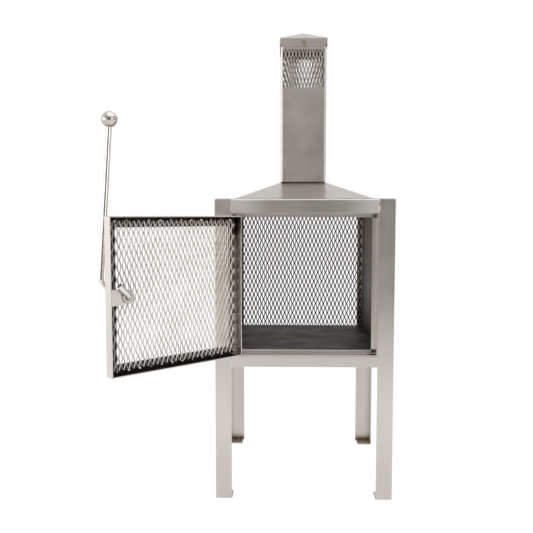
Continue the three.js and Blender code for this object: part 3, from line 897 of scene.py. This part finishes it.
arrestor = {"band": 0.034, "inWall": 0.0019, "merge": 0.00002, "sootSkin": (0.0024, 0.0014)}
sparkLow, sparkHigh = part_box("spark_arrestor")
halfFlue = (sparkHigh.x - sparkLow.x) / 2


def sootInside(finish):  # soot on what faces the smoke
    flat = halfFlue - flue["corner"]
    sideways = (finish.axis(0).size() - flat).atLeast(0.0)
    forwards = (finish.axis(1).size() - flat).atLeast(0.0)
    out = (sideways * sideways + forwards * forwards) ** 0.5
    return 1 - out.ramp(*(flue["corner"] - depth for depth in arrestor["sootSkin"]))


def wrapAround(sheet, half, corner):  # bends a flat sheet round a square with rounded corners
    flat = 2 * (half - corner)
    arc = corner * math.pi / 2
    for vertex in sheet.data.vertices:
        run = vertex.co.x % (4 * (flat + arc))
        side, along = divmod(run, flat + arc)
        depth = vertex.co.y
        if along <= flat:
            spot = Vector((along - flat / 2, -(half + depth), 0))
        else:
            turn = (along - flat) / corner
            reach = corner + depth
            spot = Vector((
                flat / 2 + reach * math.sin(turn), -(half - corner) - reach * math.cos(turn), 0,
            ))
        spot = Matrix.Rotation(side * math.pi / 2, 3, "Z") @ spot
        vertex.co = (spot.x, spot.y, vertex.co.z)


print("stage: arrestor")
finishes["arrestorMesh"] = meshFinish(
    "expanded mesh arrestor", plain=(0.56, 0.52, 0.49), dark=(0.34, 0.305, 0.28), edge=sootInside,
)
finishes["band"] = millFinish("mill sheet band", sootInside)
meshTop = sparkHigh.z - arrestor["band"]
midWall = halfFlue - arrestor["inWall"]
girth = 8 * (midWall - flue["corner"]) + 2 * math.pi * flue["corner"]
wrapMesh = dict(arrestorMesh, pitch=girth / arrestorMesh["columns"])
sleeveMesh = expandedSheet("spark_arrestor_expanded", wrapMesh, girth, meshTop - sparkLow.z)
wrapAround(sleeveMesh, midWall, flue["corner"])
sleeveMesh.location = (0, 0, (meshTop + sparkLow.z) / 2)
settle(sleeveMesh)
edit(sleeveMesh)
bpy.ops.mesh.select_all(action="SELECT")
bpy.ops.mesh.remove_doubles(threshold=arrestor["merge"])
bpy.ops.mesh.normals_make_consistent(inside=False)
leaveEdit()
place(sleeveMesh, finishes["arrestorMesh"], "frame", "mesh_steel", "spark_arrestor")
band = squareSleeve("arrestor_band", Vector((sparkLow.x, sparkLow.y, meshTop)), sparkHigh, flue["corner"])
place(band, finishes["band"], "frame", "mesh_steel")
postTop = Vector((sparkHigh.x, sparkHigh.y, meshTop))
posts = squareSleeve("arrestor_corner_posts", sparkLow, postTop, flue["corner"], cornersOnly=True)
place(posts, finishes["plain"], "frame", "mesh_steel")

weld = {
    "pitch": 0.0014, "ripple": 0.16, "sides": 8, "taper": 0.7, "blunt": 0.03, "seam": 0.0034,
    "topRightSeam": 0.0085, "sink": 0.0012, "short": 0.001, "wander": 0.0002, "wanderRate": 700,
    "wanderShift": 50,
}


def weldBead(start, end, width):  # a rippled bead that thins out at both ends
    length = (end - start).length
    bpy.ops.mesh.primitive_cylinder_add(
        vertices=weld["sides"], radius=width / 2, depth=length, location=(0, 0, 0), rotation=(0, 0, 0),
    )
    bead = named("bead")
    edit(bead)
    pick(bead, "EDGE", lambda edge: abs(edge.verts[0].co.z - edge.verts[1].co.z) > length / 2)
    bpy.ops.mesh.subdivide(number_cuts=max(4, round(length / weld["pitch"] * 2)))
    leaveEdit()
    for vertex in bead.data.vertices:
        ahead = vertex.co.z + length / 2
        ease = min(ahead, length - ahead) / (width * weld["taper"])
        ripple = 1 + weld["ripple"] * math.sin(ahead / weld["pitch"] * math.pi)
        swell = ripple * math.sqrt(min(1, ease + weld["blunt"]))
        wander = weld["wander"] * math.sin(ahead * weld["wanderRate"] + start.x * weld["wanderShift"])
        vertex.co.x = vertex.co.x * swell + wander
        vertex.co.y = vertex.co.y * swell
    turn = (end - start).to_track_quat("Z", "X").to_matrix().to_4x4()
    bead.matrix_world = Matrix.Translation((start + end) / 2) @ turn
    return smooth(settle(bead), 50)


def beads(name, seams, material):  # every seam as one piece
    piece = joined(name, [weldBead(*seam) for seam in seams])
    return place(piece, material, "frame", "brushed_steel")


def upright(x, y, low, high, width):  # a seam up the end of a rail
    return Vector((x, y, low.z + weld["short"])), Vector((x, y, high.z - weld["short"])), width


print("stage: welds")
seams = []
for level in ("top", "bottom"):
    for side in ("front", "rear"):
        low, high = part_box(f"{level}_rail_{side}")
        y = low.y + weld["sink"] if side == "front" else high.y - weld["sink"]
        for x in (low.x, high.x):
            wide = (level, side) == ("top", "front") and x > 0
            seams.append(upright(x, y, low, high, weld["topRightSeam"] if wide else weld["seam"]))
    for side in ("left", "right"):
        low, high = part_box(f"{level}_rail_{side}")
        x = low.x + weld["sink"] if side == "left" else high.x - weld["sink"]
        for y in (low.y, high.y):
            seams.append(upright(x, y, low, high, weld["seam"]))
beads("frame_weld_beads", seams, finishes["bead"])

footBead = {  # parts as shares of a plate's side
    "width": 0.0056, "above": 0.0006, "parts": ((0.02, 0.34), (0.66, 0.98)),
}
footSeams = []
for corner in ("front_left", "front_right", "rear_left", "rear_right"):
    low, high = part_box("foot_plate_" + corner)
    z = high.z + footBead["above"]
    wallY = high.y if "rear" in corner else low.y
    wallX = high.x if "right" in corner else low.x
    across, deep = high.x - low.x, high.y - low.y
    for start, end in footBead["parts"]:
        x, y = low.x + across * start, low.y + deep * start
        endX, endY = low.x + across * end, low.y + deep * end
        footSeams.append((Vector((x, wallY, z)), Vector((endX, wallY, z)), footBead["width"]))
        footSeams.append((Vector((wallX, y, z)), Vector((wallX, endY, z)), footBead["width"]))
beads("foot_weld_beads", footSeams, finishes["burntBead"])

tack = {
    "pitch": 0.035, "shape": (1.15, 0.6, 0.9), "segments": 10, "rings": 6, "flat": 0.5, "press": 0.2,
    "uneven": 0.25, "sizeRate": 2.3, "lean": 0.3, "leanRate": 1.7,
    "rear": {"size": 0.0042, "inset": 0.002, "deep": 0.001},
    "door": {"size": 0.0044, "inset": 0.001, "deep": 0.0015},
}


def tackRow(name, spots, size, material, body, turn=None):  # flattened drops of weld
    parts = []
    for i, spot in enumerate(spots):
        grow = 1 + tack["uneven"] * math.sin(i * tack["sizeRate"])
        bpy.ops.mesh.primitive_uv_sphere_add(
            segments=tack["segments"], ring_count=tack["rings"], radius=size * grow, location=spot,
        )
        drop = named("tack")
        drop.scale = tack["shape"]
        settle(drop)
        edit(drop)
        pick(drop, "VERT", lambda vertex: vertex.co.z > spot.z + size * tack["flat"])
        lean = size * tack["lean"] * math.sin(i * tack["leanRate"])
        bpy.ops.transform.translate(value=(lean, 0, -size * tack["press"]))
        leaveEdit()
        parts.append(smooth(drop, 70))
    piece = joined(name, parts)
    if turn:
        settle(piece, turn)
    return place(piece, material, body, "mesh_steel")


def spread(low, high):  # evenly between two ends, about one pitch apart
    count = round((high - low) / tack["pitch"])
    return [low + (high - low) * (i + 0.5) / count for i in range(count)]


def ends(low, high, inset):
    return low + inset, high - inset


rearTack, doorTack = tack["rear"], tack["door"]
faceY = rearLow.y + rearTack["deep"]
sides = ends(rearLow.x, rearHigh.x, rearTack["inset"])
rearTacks = [Vector((x, faceY, z)) for z in spread(rearLow.z, rearHigh.z) for x in sides]
tackRow("rear_mesh_tacks", rearTacks, rearTack["size"], finishes["burntBead"], "frame")
faceY = doorHigh.y - doorTack["deep"]
sides = ends(doorLow.x, doorHigh.x, doorTack["inset"])
doorTacks = [Vector((x, faceY, z)) for z in spread(doorLow.z, doorHigh.z) for x in sides]
levels = ends(doorLow.z, doorHigh.z, doorTack["inset"])
doorTacks += [Vector((x, faceY, z)) for x in spread(doorLow.x, doorHigh.x) for z in levels]
tackRow("door_mesh_tacks", doorTacks, doorTack["size"], finishes["doorBead"], "door", doorTurn)

studioFloor = {"far": 9.0, "near": -3.5, "width": 14, "below": 0.0005, "grey": 0.12, "glow": 0.93}
studioLight = {  # bearings in radians from the front, heights as the sine of the elevation
    "rear": {"bearing": (-3.3, 3.3), "height": (-0.4, 0.40), "soft": 0.16, "level": 0.68},
    "room": {"bearing": (-1.75, 1.5), "height": (-0.18, 0.50), "soft": 0.12, "level": 0.62},
    "wall": {"bearing": (-0.26, 0.66), "height": (-0.18, 0.40), "soft": 0.14, "level": 0.33},
    "camera": {"bearing": (-0.06, 0.44), "height": (-0.24, 0.20), "soft": 0.10, "level": 0.06},
    "streak": {"bearing": (-1.15, 0.0), "height": (0.26, 0.52), "soft": 0.08, "level": 0.04},
    "leftBox": {"bearing": (-1.95, -0.62), "height": (-0.34, 0.40), "soft": 0.08, "level": 1.8},
    "rightBox": {"bearing": (0.66, 1.08), "height": (-0.12, 0.26), "soft": 0.08, "level": 2.4},
}
zenith = {"height": (0.62, 0.8), "darker": 0.12}
dimWarmth = {"colour": (1, 0.955, 0.915), "levels": (0.4, 0.95)}  # the dim parts of the room are warmer
overhead = {"at": (0.4, -1.0, 3.4), "size": 4.0, "energy": 30}
view = {"at": (-0.062, -2.2927, 0.8868), "tilt": 85.57, "turn": 1.54, "lens": 44.76, "sensor": 36}


def floorFinish():
    finish = Finish("pale floor")
    finish.shader.inputs["Emission Strength"].default_value = studioFloor["glow"]
    finish.shader.inputs["Specular IOR Level"].default_value = 0.0
    return finish.use(colour=(studioFloor["grey"],) * 3, roughness=1.0, emission=(1, 1, 1))


class Surround(Finish):  # the light of the room, worked out on the direction of the ray
    def __init__(self, world):
        self.tree = world.node_tree
        self.place = self.node("ShaderNodeTexCoord", output="Generated")


print("stage: studio")
bpy.ops.mesh.primitive_plane_add(size=1)
floor = named("studio_floor")
floor.scale = (studioFloor["width"], studioFloor["far"] - studioFloor["near"], 1)
floor.location = (0, (studioFloor["far"] + studioFloor["near"]) / 2, -studioFloor["below"])
settle(floor)
floor.data.materials.append(floorFinish())

sky = bpy.data.worlds.new("studio surround")
bpy.context.scene.world = sky
sky.use_nodes = True
surround = Surround(sky)
sidewise, ahead, height = surround.axis(0), surround.axis(1), surround.axis(2)
bearing = sidewise.maths("ARCTAN2", sidewise, ahead * -1)  # 0 is in front
level = 1.0 - height.ramp(*zenith["height"]) * zenith["darker"]
for part in studioLight.values():
    inside = bearing.window(*part["bearing"], part["soft"]) * height.window(*part["height"], part["soft"])
    level = level + (part["level"] - level) * inside
seen = surround.node("ShaderNodeLightPath", output="Is Camera Ray")
level = level + (1.0 - level) * seen
colour = surround.blend(dimWarmth["colour"], (1, 1, 1), level.ramp(*dimWarmth["levels"]))
backdrop = sky.node_tree.nodes["Background"]
surround.feed(backdrop.inputs["Color"], colour)
surround.feed(backdrop.inputs["Strength"], level)

bpy.ops.object.light_add(type="AREA", location=overhead["at"])
softLight = named("overhead_light")
softLight.data.shape = "DISK"
softLight.data.size = overhead["size"]
softLight.data.energy = overhead["energy"]

bpy.ops.object.camera_add(
    location=view["at"], rotation=(math.radians(view["tilt"]), 0, math.radians(view["turn"])),
)
camera = named("camera")
camera.data.lens = view["lens"]
camera.data.sensor_width = view["sensor"]
bpy.context.scene.camera = camera
bpy.context.scene.view_settings.view_transform = "Standard"

print("stage: done")
